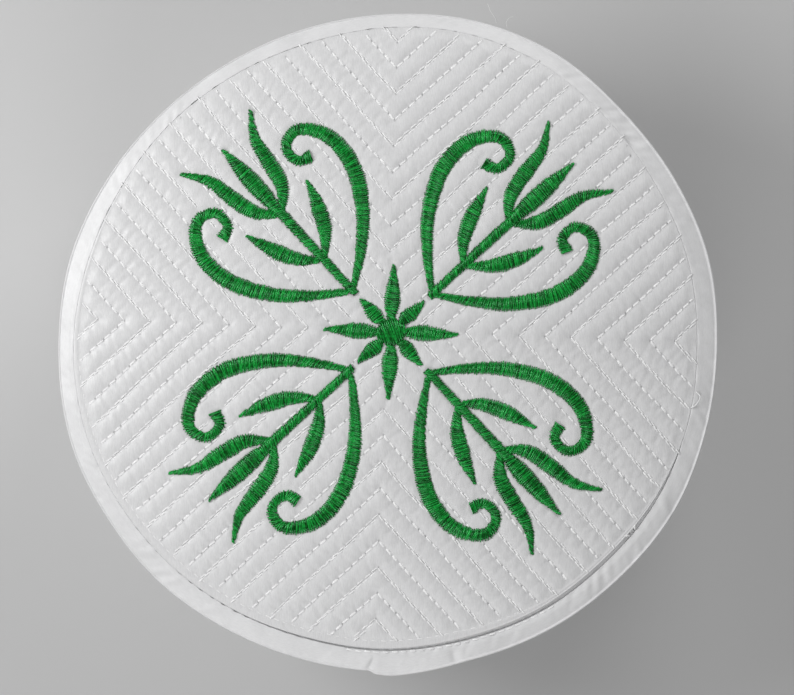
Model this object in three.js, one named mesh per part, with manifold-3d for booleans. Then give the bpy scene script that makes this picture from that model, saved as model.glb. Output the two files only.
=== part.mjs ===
// A taqiyah: a soft round prayer cap of white satin. A quilted, lightly padded disc makes the
// crown. A plain band makes the wall: its top is folded out past the crown seam into a narrow
// shoulder, its two ends are lapped at the back, and its lower edge is turned up as a hem. A
// green satin-stitch ornament of four flower sprays round a rosette is raised on the crown.
//
// Millimetres. +Z is up, the hem stands on Z = 0, +Y is the front and the lapped seam is at -Y.
// Bearings are in degrees, from +X towards +Y.

import * as THREE from "three";
import { mergeVertices } from "three/addons/utils/BufferGeometryUtils.js";
import Module from "manifold-3d";

const wasm = await Module();
wasm.setup();

// ---- Driving dimensions ----

const SHOULDER_HEIGHT = 70.6; // the pressed fold round the top of the wall
const SHOULDER_CREST = 1.5; // how far the shoulder swells above that fold
const CLOTH = 1.6; // two layers of satin and their stiffening
const HEM_TURN = 20; // height of the turned-up hem
const HEM_PLY = 0.9; // what the turned-up layer adds inside
const SEAM_GAP = 0.15; // each side of the crown seam
const LAP_FROM = 266.5; // bearing of the band's outer end
const LAP_TO = 284; // where the lap has run out
const LAP_STEP = 1.3;

const CROWN_THICKNESS = 3;
const CROWN_EDGE_HEIGHT = 72.6; // top of the crown's rolled edge
const CROWN_RISE = 2.2; // from that edge to the middle
const CROWN_ROLL = 2.4; // width of the rolled edge

const THREAD_HEIGHT = 0.7; // how far the embroidery stands up
const THREAD_GAP = 0.3; // under it
const ORNAMENT_X = 0.4;
const ORNAMENT_Y = 3.3;
const ORNAMENT_TURN = -2.2; // degrees
const SPRAYS = 4;

const COLUMNS = 144; // round the cap
const STROKE_STEP = 3.2; // length of one facet along a stroke

// The cap is soft, so it is not quite round: "reach" is from the axis to the pressed fold and
// "seam" is from the axis to the crown seam.
const OUTLINE = [
  { bearing: 0, reach: 92.7, seam: 86.9 },
  { bearing: 15, reach: 93.5, seam: 87.5 },
  { bearing: 30, reach: 93.2, seam: 87.6 },
  { bearing: 45, reach: 93.2, seam: 88.3 },
  { bearing: 60, reach: 94.6, seam: 89.8 },
  { bearing: 75, reach: 94.5, seam: 90.2 },
  { bearing: 90, reach: 93.2, seam: 89.3 },
  { bearing: 105, reach: 92.2, seam: 87.9 },
  { bearing: 120, reach: 91.6, seam: 87.6 },
  { bearing: 135, reach: 91.7, seam: 87.7 },
  { bearing: 150, reach: 92.5, seam: 87.7 },
  { bearing: 165, reach: 93.6, seam: 88.3 },
  { bearing: 180, reach: 93.7, seam: 89.3 },
  { bearing: 198, reach: 94.4, seam: 89.4 },
  { bearing: 212, reach: 93.8, seam: 88.6 },
  { bearing: 226, reach: 93.7, seam: 87.9 },
  { bearing: 240, reach: 92.9, seam: 87.1 },
  { bearing: 254, reach: 92.6, seam: 86.2 },
  { bearing: 268, reach: 92.6, seam: 86.2 },
  { bearing: 284, reach: 92.3, seam: 85.7 },
  { bearing: 300, reach: 92.6, seam: 86.0 },
  { bearing: 315, reach: 92.8, seam: 85.9 },
  { bearing: 330, reach: 93.4, seam: 86.8 },
  { bearing: 345, reach: 92.8, seam: 87.2 },
];

// Section of the band. "across" runs from the crown seam (0) to the pressed fold (1), "out" is
// added to it, and "lapped" rows stand on the outside, where the lap thickens the wall.
const BAND_SECTION = [
  { across: 1, out: -1.4, height: 0, lapped: true },
  { across: 1, out: -1.1, height: 4, lapped: true },
  { across: 1, out: -1.5, height: HEM_TURN, lapped: true },
  { across: 1, out: -1.6, height: 38, lapped: true },
  { across: 1, out: -1.0, height: 56, lapped: true },
  { across: 1, out: -0.2, height: SHOULDER_HEIGHT - 2, lapped: true },
  { across: 1, out: 0, height: SHOULDER_HEIGHT, lapped: true },
  { across: 0.92, out: 0, height: SHOULDER_HEIGHT + 0.55, lapped: true },
  { across: 0.5, out: 0, height: SHOULDER_HEIGHT + SHOULDER_CREST, lapped: false },
  { across: 0.15, out: 0, height: SHOULDER_HEIGHT + 1, lapped: false },
  { across: 0, out: SEAM_GAP, height: SHOULDER_HEIGHT, lapped: false },
  { across: 0, out: SEAM_GAP, height: SHOULDER_HEIGHT - CLOTH, lapped: false },
  { across: 0.5, out: 0, height: SHOULDER_HEIGHT - CLOTH + 0.7, lapped: false },
  { across: 1, out: -1.1 * CLOTH, height: SHOULDER_HEIGHT - CLOTH - 0.4, lapped: false },
  { across: 1, out: -1.0 - CLOTH, height: 56, lapped: false },
  { across: 1, out: -1.6 - CLOTH, height: 38, lapped: false },
  { across: 1, out: -1.5 - CLOTH, height: HEM_TURN + 1, lapped: false },
  { across: 1, out: -1.5 - CLOTH - HEM_PLY, height: HEM_TURN, lapped: false },
  { across: 1, out: -1.4 - CLOTH - HEM_PLY, height: 0, lapped: false },
];

// Strokes of one spray, in its own frame: "along" its middle line, "across" it, and the
// "width" of the satin stitch there. A stroke that is mirrored is worked on both sides.
const SPRAY_STROKES = [
  {
    name: "stem",
    mirrored: false,
    knots: [
      { along: 14.5, across: 0, width: 2.4 },
      { along: 30, across: 0, width: 2.8 },
      { along: 48, across: 0, width: 3.2 },
    ],
  },
  {
    name: "middle petal",
    mirrored: false,
    knots: [
      { along: 46, across: 0, width: 2.4 },
      { along: 53, across: 0, width: 5.0 },
      { along: 61, across: 0, width: 4.6 },
      { along: 70, across: 0, width: 0.7 },
    ],
  },
  {
    name: "side petal",
    mirrored: true,
    knots: [
      { along: 45.5, across: 0.6, width: 1.6 },
      { along: 51, across: 5.4, width: 4.2 },
      { along: 59, across: 7.4, width: 4.6 },
      { along: 66, across: 8.8, width: 3.2 },
      { along: 73, across: 13.4, width: 0.7 },
    ],
  },
  {
    name: "scroll",
    mirrored: true,
    knots: [
      { along: 16, across: 0.4, width: 1.6 },
      { along: 22, across: 8.6, width: 3.0 },
      { along: 30, across: 17.0, width: 4.2 },
      { along: 41, across: 23.6, width: 4.8 },
      { along: 52, across: 24.6, width: 4.4 },
      { along: 59.6, across: 19.6, width: 3.6 },
      { along: 58.4, across: 13.6, width: 3.0 },
      { along: 53, across: 13.4, width: 3.0 },
      { along: 51.6, across: 17.2, width: 3.8 },
    ],
  },
  {
    name: "leaf",
    mirrored: true,
    knots: [
      { along: 28, across: 0.6, width: 1.4 },
      { along: 33, across: 5.4, width: 4.0 },
      { along: 39.5, across: 8.8, width: 4.4 },
      { along: 47.5, across: 11.6, width: 0.7 },
    ],
  },
];

const ROSETTE_PETALS = 8;
const ROSETTE_HEART = 4.2; // radius of its middle
const SHORT_PETAL = [
  { along: 3.4, across: 0, width: 2.4 },
  { along: 7.2, across: 0, width: 4.4 },
  { along: 12.8, across: 0, width: 0.7 },
];
const LONG_PETAL = [
  { along: 3.4, across: 0, width: 2.4 },
  { along: 9.6, across: 0, width: 4.8 },
  { along: 19, across: 0, width: 0.7 },
];

// ---- Materials ----

const satin = new THREE.MeshStandardMaterial({ color: 0xe6e6ea, roughness: 0.45, metalness: 0 });
const quilted = new THREE.MeshStandardMaterial({ color: 0xe9e9ec, roughness: 0.5, metalness: 0 });
const thread = new THREE.MeshStandardMaterial({ color: 0x1a7a2c, roughness: 0.4, metalness: 0 });

// ---- The cloth: turned sections that follow the soft outline ----

// One column of the outline table at a bearing in degrees, on a smooth closed curve.
function outlineAt(bearing, column) {
  const count = OUTLINE.length;
  const turn = ((bearing % 360) + 360) % 360;
  const next = OUTLINE.findIndex((row) => row.bearing > turn);
  const at = (next === -1 ? count : next) - 1;
  const [before, from, to, after] = [-1, 0, 1, 2].map((k) => OUTLINE[(at + k + count) % count]);
  const span = (to.bearing - from.bearing + 360) % 360;
  const t = (turn - from.bearing) / span;
  const start = (to[column] - before[column]) / 2;
  const end = (after[column] - from[column]) / 2;
  const rise = to[column] - from[column];
  return from[column] + t * (start + t * (3 * rise - 2 * start - end + t * (start + end - 2 * rise)));
}

// What the lapped end adds outside: a sharp step at the outer end, then a slow run-out.
function lapAt(bearing) {
  const turn = ((bearing % 360) + 360) % 360;
  if (turn < LAP_FROM || turn > LAP_TO) return 0;
  return LAP_STEP * (1 - ((turn - LAP_FROM) / (LAP_TO - LAP_FROM)) ** 2);
}

// A lathe turning of a section, then each point moved out to the radius that its row asks for.
function turned(section, radiusAt) {
  const geometry = new THREE.LatheGeometry(
    section.map((row) => new THREE.Vector2(1, row.height)),
    COLUMNS,
  );
  geometry.rotateX(Math.PI / 2);
  const position = geometry.attributes.position;
  for (let i = 0; i < position.count; i++) {
    const bearing = Math.atan2(position.getY(i), position.getX(i));
    const radius = radiusAt(section[i % section.length], THREE.MathUtils.radToDeg(bearing));
    position.setXY(i, radius * Math.cos(bearing), radius * Math.sin(bearing));
  }
  return geometry;
}

function bandGeometry() {
  return turned([...BAND_SECTION, BAND_SECTION[0]], (row, bearing) => {
    const seam = outlineAt(bearing, "seam");
    const reach = outlineAt(bearing, "reach");
    const lap = row.lapped ? lapAt(bearing) : 0;
    return seam + row.across * (reach - seam) + row.out + lap;
  });
}

// Height of the crown's upper face where it lies at this share of the way out to the seam.
function crownTop(share) {
  return CROWN_EDGE_HEIGHT + CROWN_RISE * (1 - share * share);
}

function crownGeometry() {
  const face = (shares, drop) =>
    shares.map((share) => ({ share, out: 0, height: crownTop(share) - drop }));
  const under = face([0, 0.5, 0.96], CROWN_THICKNESS);
  const top = face([0.96, 0.7, 0.4, 0], 0);
  const edge = [
    { share: 1, out: -SEAM_GAP - 0.5 * CROWN_ROLL, height: CROWN_EDGE_HEIGHT - CROWN_THICKNESS },
    { share: 1, out: -SEAM_GAP, height: CROWN_EDGE_HEIGHT - 0.66 * CROWN_THICKNESS },
    { share: 1, out: -SEAM_GAP - 0.2, height: CROWN_EDGE_HEIGHT - 0.33 * CROWN_THICKNESS },
    { share: 1, out: -SEAM_GAP - 0.4 * CROWN_ROLL, height: CROWN_EDGE_HEIGHT - 0.1 },
  ];
  return turned(
    [...under, ...edge, ...top],
    (row, bearing) => row.share * outlineAt(bearing, "seam") + row.out,
  );
}

// ---- The embroidery: flat strokes, joined, then laid on the crown ----

// The outline of one stroke: its knots' curve, with half the width set off to each side.
function strokeShape(knots, side = 1) {
  const line = new THREE.CatmullRomCurve3(
    knots.map((knot) => new THREE.Vector3(knot.along, side * knot.across, knot.width)),
    false,
    "catmullrom",
    0.5,
  );
  const steps = Math.ceil(line.getLength() / STROKE_STEP);
  const edge = (sign) =>
    line.getPoints(steps).map((point, i) => {
      const slope = line.getTangent(i / steps);
      const across = new THREE.Vector2(-slope.y, slope.x).normalize();
      return new THREE.Vector2(point.x, point.y).addScaledVector(across, (sign * point.z) / 2);
    });
  return new THREE.Shape([...edge(1), ...edge(-1).reverse()]);
}

function solidOf(shape, turn) {
  const geometry = new THREE.ExtrudeGeometry(shape, { depth: THREAD_HEIGHT, bevelEnabled: false });
  geometry.rotateZ(THREE.MathUtils.degToRad(turn));
  geometry.deleteAttribute("normal");
  geometry.deleteAttribute("uv");
  const merged = mergeVertices(geometry, 1e-4);
  return new wasm.Manifold(
    new wasm.Mesh({
      numProp: 3,
      vertProperties: merged.attributes.position.array,
      triVerts: new Uint32Array(merged.index.array),
    }),
  );
}

// Joins the solids, moves them to the ornament's middle and bends them over the crown.
function laidOnCrown(solids) {
  const joined = solids.reduce((sum, solid) => sum.add(solid)).getMesh();
  const geometry = new THREE.BufferGeometry();
  const position = new THREE.BufferAttribute(new Float32Array(joined.vertProperties), 3);
  geometry.setAttribute("position", position);
  geometry.setIndex(new THREE.BufferAttribute(joined.triVerts, 1));
  for (let i = 0; i < position.count; i++) {
    const x = position.getX(i) + ORNAMENT_X;
    const y = position.getY(i) + ORNAMENT_Y;
    const bearing = THREE.MathUtils.radToDeg(Math.atan2(y, x));
    const share = Math.hypot(x, y) / outlineAt(bearing, "seam");
    position.setXYZ(i, x, y, position.getZ(i) + crownTop(share) + THREAD_GAP);
  }
  geometry.computeVertexNormals();
  return geometry;
}

function sprayGeometry(turn) {
  const sides = (stroke) => (stroke.mirrored ? [1, -1] : [1]);
  return laidOnCrown(
    SPRAY_STROKES.flatMap((stroke) =>
      sides(stroke).map((side) => solidOf(strokeShape(stroke.knots, side), turn)),
    ),
  );
}

function rosetteGeometry() {
  const heart = new THREE.Shape().absarc(0, 0, ROSETTE_HEART, 0, 2 * Math.PI);
  const petals = Array.from({ length: ROSETTE_PETALS }, (_, k) => {
    const knots = k % 2 ? SHORT_PETAL : LONG_PETAL;
    return solidOf(strokeShape(knots), ORNAMENT_TURN + (360 * k) / ROSETTE_PETALS);
  });
  return laidOnCrown([solidOf(heart, 0), ...petals]);
}

// ---- The cap ----

const taqiyah = new THREE.Group();

function addPiece(name, geometry, material) {
  const mesh = new THREE.Mesh(geometry, material);
  mesh.name = name;
  taqiyah.add(mesh);
}

addPiece("crown_panel", crownGeometry(), quilted);
addPiece("side_band", bandGeometry(), satin);
addPiece("embroidered_rosette", rosetteGeometry(), thread);
for (let k = 0; k < SPRAYS; k++) {
  const turn = ORNAMENT_TURN + 45 + (360 * k) / SPRAYS;
  addPiece(`embroidered_spray_${k + 1}`, sprayGeometry(turn), thread);
}

// The outline is not quite even, so the pieces are moved until the cap's box is centred on Z.
const middle = new THREE.Box3().setFromObject(taqiyah).getCenter(new THREE.Vector3()).setZ(0);
for (const piece of taqiyah.children) piece.position.sub(middle);

export default taqiyah;
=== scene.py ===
import math

import bpy
import numpy as np
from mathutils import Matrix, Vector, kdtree


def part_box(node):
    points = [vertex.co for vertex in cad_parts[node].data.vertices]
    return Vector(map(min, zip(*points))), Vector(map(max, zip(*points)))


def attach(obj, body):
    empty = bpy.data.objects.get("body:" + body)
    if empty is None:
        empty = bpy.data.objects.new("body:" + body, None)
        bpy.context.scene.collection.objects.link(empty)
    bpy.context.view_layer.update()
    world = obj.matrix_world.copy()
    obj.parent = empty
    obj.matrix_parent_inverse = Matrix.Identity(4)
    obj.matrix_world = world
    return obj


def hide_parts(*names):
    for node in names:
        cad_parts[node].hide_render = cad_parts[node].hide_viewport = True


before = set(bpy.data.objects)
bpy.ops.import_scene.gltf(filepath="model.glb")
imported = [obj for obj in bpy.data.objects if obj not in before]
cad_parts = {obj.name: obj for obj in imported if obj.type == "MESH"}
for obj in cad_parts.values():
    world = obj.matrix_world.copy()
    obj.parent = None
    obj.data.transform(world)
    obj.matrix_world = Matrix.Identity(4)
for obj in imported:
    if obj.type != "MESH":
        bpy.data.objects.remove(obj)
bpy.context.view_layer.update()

MM = 0.001

# ---------------------------------------------------------------------------------------------
# The plan of the embroidery
# A generic floral ornament in green satin stitch: four sprays, each a stem with a tulip, two
# scrolls and two leaves, round an eight-petalled rosette. It comes first because the crown's
# cloth is sewn down under it.

ORNAMENT_CENTRE = np.array((0.89, 3.55)) * MM
ORNAMENT_TURN = -2.2  # degrees; the quilting is turned with it
SPRAYS = 4
ROSETTE_PETALS = 8

# Strokes of one spray, in millimetres: along its middle line, across it, width of the stitch.
STEM = [(14.5, 0, 2.4), (30, 0, 2.8), (48, 0, 3.2)]
MIDDLE_PETAL = [(46, 0, 2.4), (53, 0, 5.0), (61, 0, 4.6), (70, 0, 0.7)]
SIDE_PETAL = [(45.5, 0.6, 1.6), (51, 5.4, 4.2), (59, 7.4, 4.6), (66, 8.8, 3.2), (73, 13.4, 0.7)]
LEAF = [(28, 0.6, 1.4), (33, 5.4, 4.0), (39.5, 8.8, 4.4), (47.5, 11.6, 0.7)]
SCROLL = [
    (16, 0.4, 1.6),
    (22, 8.6, 3.0),
    (30, 17.0, 4.2),
    (41, 23.6, 4.8),
    (52, 24.6, 4.4),
    (59.6, 19.6, 3.6),
    (58.4, 13.6, 3.0),
    (53, 13.4, 3.0),
    (51.6, 17.2, 3.8),
]
SHORT_PETAL = [(3.4, 0, 2.4), (7.2, 0, 4.4), (12.8, 0, 0.7)]
LONG_PETAL = [(3.4, 0, 2.4), (9.6, 0, 4.8), (19, 0, 0.7)]
HEART = [(-4.2, 0, 2.0), (-2.2, 0, 7.0), (0, 0, 8.4), (2.2, 0, 7.0), (4.2, 0, 2.0)]


def smooth_line(knots, step):
    """A smooth curve through the knots, in even steps of its length."""
    knots = np.array(knots, float)
    ends = np.vstack([2 * knots[0] - knots[1], knots, 2 * knots[-1] - knots[-2]])
    t = np.linspace(0, 1, 40, endpoint=False)[:, None]
    spans = []
    for before, start, end, after in zip(ends, ends[1:], ends[2:], ends[3:]):
        spans.append(
            0.5 * (2 * start + (end - before) * t
                   + (2 * before - 5 * start + 4 * end - after) * t**2
                   + (3 * start - 3 * end + after - before) * t**3)
        )
    line = np.vstack([*spans, knots[-1:]])
    length = np.r_[0, np.cumsum(np.linalg.norm(np.diff(line[:, :2], axis=0), axis=1))]
    count = max(2, round(length[-1] / step)) + 1
    even = np.linspace(0, length[-1], count)
    return np.stack([np.interp(even, length, line[:, k]) for k in range(line.shape[1])], 1)


def stroke_on_crown(knots, turn, side=1):
    """The knots of one stroke turned to its place: x, y and width in metres."""
    along, across, width = np.array(knots, float).T * MM
    across = across * side
    c, s = math.cos(math.radians(turn)), math.sin(math.radians(turn))
    x = ORNAMENT_CENTRE[0] + c * along - s * across
    y = ORNAMENT_CENTRE[1] + s * along + c * across
    return np.stack([x, y, width], 1)


ornament = {}  # piece name -> its strokes, in the order that they are worked
for k in range(SPRAYS):
    turn = ORNAMENT_TURN + 45 + 360 * k / SPRAYS
    ornament[f"embroidered_spray_{k + 1}"] = [
        stroke_on_crown(knots, turn, side)
        for knots in (LEAF, SCROLL, SIDE_PETAL)
        for side in (1, -1)
    ] + [stroke_on_crown(knots, turn) for knots in (STEM, MIDDLE_PETAL)]
ornament["embroidered_rosette"] = [
    stroke_on_crown(SHORT_PETAL if k % 2 else LONG_PETAL, ORNAMENT_TURN + 360 * k / ROSETTE_PETALS)
    for k in range(ROSETTE_PETALS)
] + [stroke_on_crown(HEART, 20)]

# ---------------------------------------------------------------------------------------------
# The crown panel
# Two round faces of white satin with a thin wadding between them, quilted by machine in nested
# chevrons that point at the middle, and stitched round just inside the seam. The thread pulls
# the cloth down along each row, and the wadding puffs it up between the rows.

ROW_SPACING = 5.235 * MM
CELLS_PER_ROW = 8  # mesh cells from one quilted row to the next
CELL = ROW_SPACING / CELLS_PER_ROW
STITCH_CELLS = 4  # mesh cells in one stitch
PLAN_CELLS = 144  # mesh cells from the middle of the quilting plan to its edge
QUILT_CENTRE = np.array((-0.27, 4.0)) * MM
QUILT_TURN = math.radians(45 + ORNAMENT_TURN)
WANDER = 0.28 * MM  # of hand-fed cloth under the needle
CROWN_RISE = 2.2 * MM  # how far the middle stands above the rolled edge
CROWN_THICKNESS = 3.0 * MM
SEAM_RADIUS = 87 * MM  # about, for spacing what goes round the seam
crown_edge_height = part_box("crown_panel")[1].z - CROWN_RISE

# Round the rim, by bearing in degrees. In millimetres: from the edge stitching to the seam, and
# how wide the seam gapes (below nothing where the two cloths press together). Last, from 0 to 1,
# how much of a shut seam shows as short dark breaks.
RIM = [
    (0, 0.4, -0.04, 0),
    (60, 0.4, -0.05, 0.4),
    (85, 0.4, -0.03, 0.9),
    (110, 0.4, 0.02, 1),
    (150, 0.4, -0.02, 0.8),
    (165, 0.9, -0.05, 0.3),
    (190, 1.9, -0.05, 0.4),
    (225, 2.4, -0.05, 0.7),
    (240, 2.4, 0.02, 0.9),
    (255, 2.3, 0.35, 0.5),
    (285, 2.2, 0.75, 0.2),
    (302, 1.4, 0.95, 0),
    (322, 1.2, 0.95, 0.2),
    (333, 0.7, 0.45, 0.7),
    (342, 0.4, -0.02, 0.5),
]
GAPING = 0.9 * MM  # a seam as open as this shows its whole depth


def rim_of(node, low, high, outermost):
    """The radius of a CAD node between two heights, as a function of the bearing."""
    points = np.array([v.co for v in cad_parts[node].data.vertices])
    points = points[(points[:, 2] > low) & (points[:, 2] < high)]
    bearing = np.arctan2(points[:, 1], points[:, 0])
    radius = np.hypot(points[:, 0], points[:, 1])
    columns = np.unique(np.round(bearing, 2))
    rows = []
    for column in columns:
        near = np.abs(bearing - column) < 0.012
        rows.append((bearing[near].mean(), (max if outermost else min)(radius[near])))
    at, size = np.array(rows).T
    return lambda angle: np.interp(angle, at, size, period=2 * math.pi)


crown_rim = rim_of("crown_panel", 69.0 * MM, 71.2 * MM, True)  # the panel's upright edge


def edge_inset(bearing):
    """How far the edge stitching lies inside the seam."""
    at, inset, _, _ = np.array(RIM).T
    return np.interp(np.degrees(bearing), at, inset, period=360) * MM


def soft_noise(x, y, size, seed, round_trip=0):
    """A smooth wandering between about -1 and 1, which can repeat in x after a round trip."""
    draws = np.random.default_rng(seed)
    total = 0
    for _ in range(6):
        turn, phase = draws.uniform(0, 2 * math.pi, 2)
        wave = draws.uniform(0.7, 1.5) * 2 * math.pi / size
        along = wave * math.cos(turn)
        if round_trip:
            along = round(along * round_trip / (2 * math.pi)) * 2 * math.pi / round_trip
        total = total + np.sin(along * x + wave * math.sin(turn) * y + phase)
    return total / 3.5


def seam_opening(bearing):
    """How wide the seam gapes between the crown and the band."""
    at, _, opening, breaks = np.array(RIM).T
    x, y = SEAM_RADIUS * np.cos(bearing), SEAM_RADIUS * np.sin(bearing)
    gaps = 0.24 * soft_noise(x, y, 3.0 * MM, 8).clip(0, 1)
    breaks = np.interp(np.degrees(bearing), at, breaks, period=360)
    return (np.interp(np.degrees(bearing), at, opening, period=360) + breaks * gaps) * MM


def gape(bearing):
    """From 0 where the seam is shut to 1 where it gapes."""
    return (seam_opening(bearing) / GAPING).clip(0, 1)


def room_at(x, y):
    """How far places are inside the edge stitching."""
    bearing = np.arctan2(y, x)
    return crown_rim(bearing) - edge_inset(bearing) - np.hypot(x, y)


def crown_height(x, y):
    """The height of the crown's cloth where it is sewn down."""
    share = np.hypot(x, y) / crown_rim(np.arctan2(y, x))
    return crown_edge_height + CROWN_RISE * (1 - share**2)


def quilt_to_crown(u, v):
    """From the even quilting plan to the crown."""
    c, s = math.cos(QUILT_TURN), math.sin(QUILT_TURN)
    x = QUILT_CENTRE[0] + c * u - s * v
    y = QUILT_CENTRE[1] + s * u + c * v
    return (
        x + WANDER * soft_noise(x, y, 34 * MM, 1),
        y + WANDER * soft_noise(x, y, 34 * MM, 2),
    )


def newest(name):
    piece = bpy.context.object
    piece.name = piece.data.name = name
    return piece


def points_of(piece):
    co = np.empty(len(piece.data.vertices) * 3)
    piece.data.vertices.foreach_get("co", co)
    return co.reshape(-1, 3)


def set_points(piece, points):
    piece.data.vertices.foreach_set("co", np.ascontiguousarray(points, float).ravel())
    piece.data.update()


def set_attribute(piece, name, values):
    piece.data.attributes.new(name, "FLOAT", "POINT")
    piece.data.attributes[name].data.foreach_set("value", np.asarray(values, np.float32))


def attribute_of(piece, name):
    values = np.empty(len(piece.data.vertices), np.float32)
    piece.data.attributes[name].data.foreach_get("value", values)
    return values


def pick(piece, chosen):
    """Selects these points and the edges and faces between them, in object mode."""
    mesh = piece.data
    ends = np.empty(len(mesh.edges) * 2, int)
    corners = np.empty(len(mesh.loops), int)
    starts = np.empty(len(mesh.polygons), int)
    mesh.edges.foreach_get("vertices", ends)
    mesh.loops.foreach_get("vertex_index", corners)
    mesh.polygons.foreach_get("loop_start", starts)
    mesh.vertices.foreach_set("select", chosen)
    mesh.edges.foreach_set("select", chosen[ends.reshape(-1, 2)].all(1))
    mesh.polygons.foreach_set("select", np.logical_and.reduceat(chosen[corners], starts))


def picked(piece):
    chosen = np.empty(len(piece.data.vertices), bool)
    piece.data.vertices.foreach_get("select", chosen)
    return chosen


bpy.ops.object.select_all(action="DESELECT")
bpy.ops.mesh.primitive_grid_add(
    x_subdivisions=2 * PLAN_CELLS, y_subdivisions=2 * PLAN_CELLS, size=2 * PLAN_CELLS * CELL
)
crown = newest("quilted_crown")
plan = np.round(points_of(crown)[:, :2] / CELL)
x, y = quilt_to_crown(*(plan.T * CELL))
outside = room_at(x, y) < 0.3 * CELL
set_points(crown, np.stack([x, y, crown_height(x, y)], 1))
set_attribute(crown, "plan_u", plan[:, 0])
set_attribute(crown, "plan_v", plan[:, 1])
pick(crown, outside)
bpy.ops.object.mode_set(mode="EDIT")
bpy.ops.mesh.delete(type="VERT")
bpy.ops.mesh.select_all(action="SELECT")
bpy.ops.mesh.region_to_loop()
bpy.ops.object.mode_set(mode="OBJECT")

points = points_of(crown)
on_edge = picked(crown)
u, v = attribute_of(crown, "plan_u"), attribute_of(crown, "plan_v")
across_rows, along_rows = np.where(np.abs(u) >= np.abs(v), (v, u), (u, v))
to_row = np.abs((across_rows + CELLS_PER_ROW / 2) % CELLS_PER_ROW - CELLS_PER_ROW / 2)

stroke_points = [row for strokes in ornament.values() for s in strokes for row in smooth_line(s, 0.5 * MM)]
stroke_tree = kdtree.KDTree(len(stroke_points))
for number, (px, py, width) in enumerate(stroke_points):
    stroke_tree.insert((px, py, 0), number)
stroke_tree.balance()


def under_embroidery(x, y, margin):
    """Which places lie under the embroidery, or within a margin of it."""
    found = []
    for place in zip(x, y):
        _, number, gap = stroke_tree.find((*place, 0))
        found.append(gap < stroke_points[number][2] / 2 + margin)
    return np.array(found)


embroidered = under_embroidery(points[:, 0], points[:, 1], 0.1 * MM)
sewn = (to_row == 0) | embroidered | on_edge

# The wadding puffs the cloth: a cloth simulation with the sewn places held, at ten times the
# size because the solver is happier with larger cells. The cloth is cut a little full.
FULLNESS = 0.024
WADDING_PRESSURE = 120
PUFF_CAP = 0.95 * MM  # no place moves as far as this
SIM_SCALE = 10
SIM_FRAMES = 13
ruffled = points.copy()
ruffled[~sewn, 2] += np.random.default_rng(7).normal(0, 0.02 * MM, (~sewn).sum())
set_points(crown, ruffled * SIM_SCALE)
held = crown.vertex_groups.new(name="sewn down")
held.add(np.nonzero(sewn)[0].tolist(), 1.0, "REPLACE")
puffing = crown.modifiers.new("puffed wadding", "CLOTH")
puffing.settings.vertex_group_mass = held.name
puffing.settings.quality = 5
puffing.settings.tension_stiffness = 15
puffing.settings.compression_stiffness = 15
puffing.settings.bending_stiffness = 0.5
puffing.settings.use_pressure = True
puffing.settings.uniform_pressure_force = WADDING_PRESSURE
puffing.settings.effector_weights.gravity = 0
puffing.settings.shrink_min = -FULLNESS
puffing.collision_settings.use_collision = False
puffing.point_cache.frame_start = 1
puffing.point_cache.frame_end = SIM_FRAMES
for step in range(1, SIM_FRAMES + 1):
    bpy.context.scene.frame_set(step)
bpy.ops.object.modifier_apply(modifier=puffing.name)
moved = points_of(crown) / SIM_SCALE - points
far = np.maximum(np.linalg.norm(moved, axis=1), 1e-9)
points = points + moved * (PUFF_CAP * np.tanh(far / PUFF_CAP) / far)[:, None]
crown.vertex_groups.clear()
bpy.context.scene.frame_set(1)

# Small wrinkles run from the needle's holes into the puffs, and the puffs themselves are uneven.
PUFF_UNEVENNESS = 0.08 * MM
WRINKLE_DEPTH = 0.07 * MM
WRINKLE_REACH = 1.7  # mesh cells from the row
x, y = points[:, :2].T
drawn_in = np.exp(-((to_row / WRINKLE_REACH) ** 2)) * ~sewn
wrinkles = np.cos(2 * math.pi * along_rows / STITCH_CELLS) * (1 + 0.8 * soft_noise(x, y, 7 * MM, 51))
uneven = 0.6 * soft_noise(x, y, 3.1 * MM, 52) + 0.6 * soft_noise(x, y, 6.5 * MM, 53)
points[:, 2] += PUFF_UNEVENNESS * uneven * ~sewn - WRINKLE_DEPTH * wrinkles * drawn_in

# The cut edge is stepped, so the last cells are eased into one even slope down to the seam.
EASED_EDGE = 1.7 * MM
set_points(crown, points)
pick(crown, room_at(x, y) < EASED_EDGE)
bpy.ops.object.mode_set(mode="EDIT")
bpy.ops.mesh.vertices_smooth(factor=0.5, repeat=5, xaxis=False, yaxis=False, zaxis=True)
bpy.ops.object.mode_set(mode="OBJECT")
points = points_of(crown)

# The thread draws the cloth down along each row, and most at the needle's holes.
ROW_DEPTH = 0.02 * MM
HOLE_DEPTH = 0.07 * MM
in_row = (to_row == 0) & ~embroidered
needle = in_row & (np.abs(along_rows) % STITCH_CELLS == 0) & ~on_edge
depth = np.random.default_rng(17).uniform(0.5, 1, len(points)) * needle
depth[np.abs(across_rows) // CELLS_PER_ROW % 2 == 1] *= 0.6  # finer holes in the doubled rows
depth[needle & (np.abs(u) == np.abs(v))] = 0.9  # where a row turns its corner
points[in_row, 2] -= ROW_DEPTH
points[:, 2] -= HOLE_DEPTH * depth
set_points(crown, points)
# The same rows and holes are kept as attributes for the satin's painted shade: darker along the rows and
# dark dots at the needle holes.
set_attribute(crown, "sewn", np.clip(1 - to_row / 1.5, 0, 1) * ~embroidered * ~on_edge)
set_attribute(crown, "needle", depth)

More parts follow.
